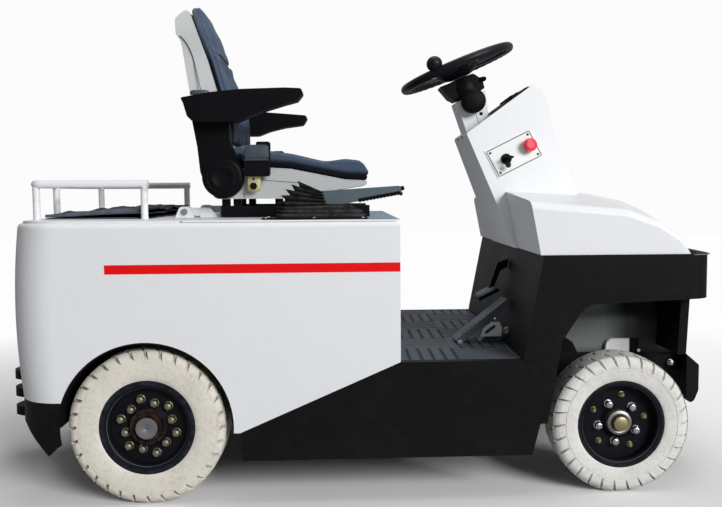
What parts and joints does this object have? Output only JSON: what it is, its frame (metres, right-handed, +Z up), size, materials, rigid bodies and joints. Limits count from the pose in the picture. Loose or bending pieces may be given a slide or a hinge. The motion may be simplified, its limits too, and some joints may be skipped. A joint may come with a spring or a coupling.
{
  "type": "electric tow tractor",
  "caption": "Battery tow tractor with a driver's seat over a boxed rear body, a low footwell, a leaning console with a steering wheel, a steered front axle and a rear towing hitch.",
  "frame": {"origin": "on the ground, midway between the hitch's tip and the front bumper's face", "axes": "+X forward, +Y to the driver's left, +Z up"},
  "size_m": [2.131, 0.98, 1.4264],
  "materials": {
    "white_paint": "cool white gloss paint",
    "black_paint": "black gloss paint",
    "black_rubber": "matte black rubber",
    "battery_case": "dark painted battery case",
    "pin_steel": "bare steel",
    "black_plastic": "moulded black plastic",
    "grey_plastic": "moulded pale grey plastic",
    "lever_grey": "grey sleeve",
    "red_plastic": "red plastic",
    "seat_vinyl": "blue-black vinyl",
    "cream_tyre": "non-marking cream rubber",
    "black_rim": "black painted steel"
  },
  "bodies": {
    "chassis": {"accelerator_pedal": "black_rubber", "battery": "battery_case", "battery_cover": "black_rubber", "brake_pedal": "black_paint", "cargo_rack": "white_paint", "chassis_frame": "black_paint", "column_head": "black_plastic", "console": "white_paint", "control_plate": "grey_plastic", "fender_liners": "black_paint", "floor_mat": "black_rubber", "floor_pan": "black_paint", "front_apron": "black_paint", "front_axle": "black_paint", "front_bumper": "black_paint", "front_cowl": "black_paint", "front_hood": "white_paint", "hinge_pins": "pin_steel", "instrument_panel": "black_plastic", "leaf_springs": "black_paint", "rear_axle": "black_paint", "rear_body": "white_paint", "rear_bumper": "black_paint", "rear_deck": "white_paint", "side_skirts": "black_paint", "steering_column": "white_paint", "stop_button": "red_plastic", "tow_hitch": "black_paint"},
    "seat_deck": {"seat_deck": "white_paint", "seat_rails": "black_paint", "seat_pan": "grey_plastic", "seat_cushion": "seat_vinyl", "backrest_shell": "grey_plastic", "backrest_cushion": "seat_vinyl", "recliner_covers": "black_plastic", "armrests": "black_plastic", "belt_buckles": "black_plastic", "brake_lever": "lever_grey", "lever_boot": "black_rubber", "lever_base": "black_paint"},
    "steering_wheel": {"steering_wheel": "black_plastic"},
    "knuckle_left": {"knuckle_left": "black_paint"},
    "knuckle_right": {"knuckle_right": "black_paint"},
    "tie_rod": {"tie_rod": "black_paint"},
    "wheel_rear_left": {"tyre_rear_left": "cream_tyre", "rim_rear_left": "black_rim"},
    "wheel_rear_right": {"tyre_rear_right": "cream_tyre", "rim_rear_right": "black_rim"},
    "wheel_front_left": {"tyre_front_left": "cream_tyre", "rim_front_left": "black_rim"},
    "wheel_front_right": {"tyre_front_right": "cream_tyre", "rim_front_right": "black_rim"}
  },
  "joints": [
    {"name": "seat_deck_hinge", "type": "hinge", "parent": "chassis", "child": "seat_deck", "pos_m": [-0.4735, 0, 0.789], "axis": [0, -1, 0], "range_deg": [0, 60]},
    {"name": "steer_left", "type": "hinge", "parent": "chassis", "child": "knuckle_left", "pos_m": [0.7695, 0.32, 0.194], "axis": [0, 0, 1], "range_deg": [-35, 35]},
    {"name": "steer_right", "type": "hinge", "parent": "chassis", "child": "knuckle_right", "pos_m": [0.7695, -0.32, 0.194], "axis": [0, 0, 1], "range_deg": [-35, 35]},
    {"name": "tie_rod_joint", "type": "hinge", "parent": "knuckle_left", "child": "tie_rod", "pos_m": [0.6495, 0.32, 0.115], "axis": [0, 0, 1], "range_deg": [-35, 35]},
    {"name": "steering_wheel_turn", "type": "hinge", "parent": "chassis", "child": "steering_wheel", "pos_m": [0.3715, 0, 1.241], "axis": [-0.3697, 0, 0.9291], "range_deg": [-420, 420]},
    {"name": "spin_rear_left", "type": "hinge", "parent": "chassis", "child": "wheel_rear_left", "pos_m": [-0.5355, 0.405, 0.2125], "axis": [0, 1, 0], "continuous": true},
    {"name": "spin_rear_right", "type": "hinge", "parent": "chassis", "child": "wheel_rear_right", "pos_m": [-0.5355, -0.405, 0.2125], "axis": [0, 1, 0], "continuous": true},
    {"name": "spin_front_left", "type": "hinge", "parent": "knuckle_left", "child": "wheel_front_left", "pos_m": [0.7695, 0.411, 0.194], "axis": [0, 1, 0], "continuous": true},
    {"name": "spin_front_right", "type": "hinge", "parent": "knuckle_right", "child": "wheel_front_right", "pos_m": [0.7695, -0.411, 0.194], "axis": [0, 1, 0], "continuous": true}
  ],
  "couplings": [
    {"joint": "steer_right", "follows": "steer_left", "ratio": 1},
    {"joint": "tie_rod_joint", "follows": "steer_left", "ratio": -1},
    {"joint": "steering_wheel_turn", "follows": "steer_left", "ratio": 12}
  ]
}
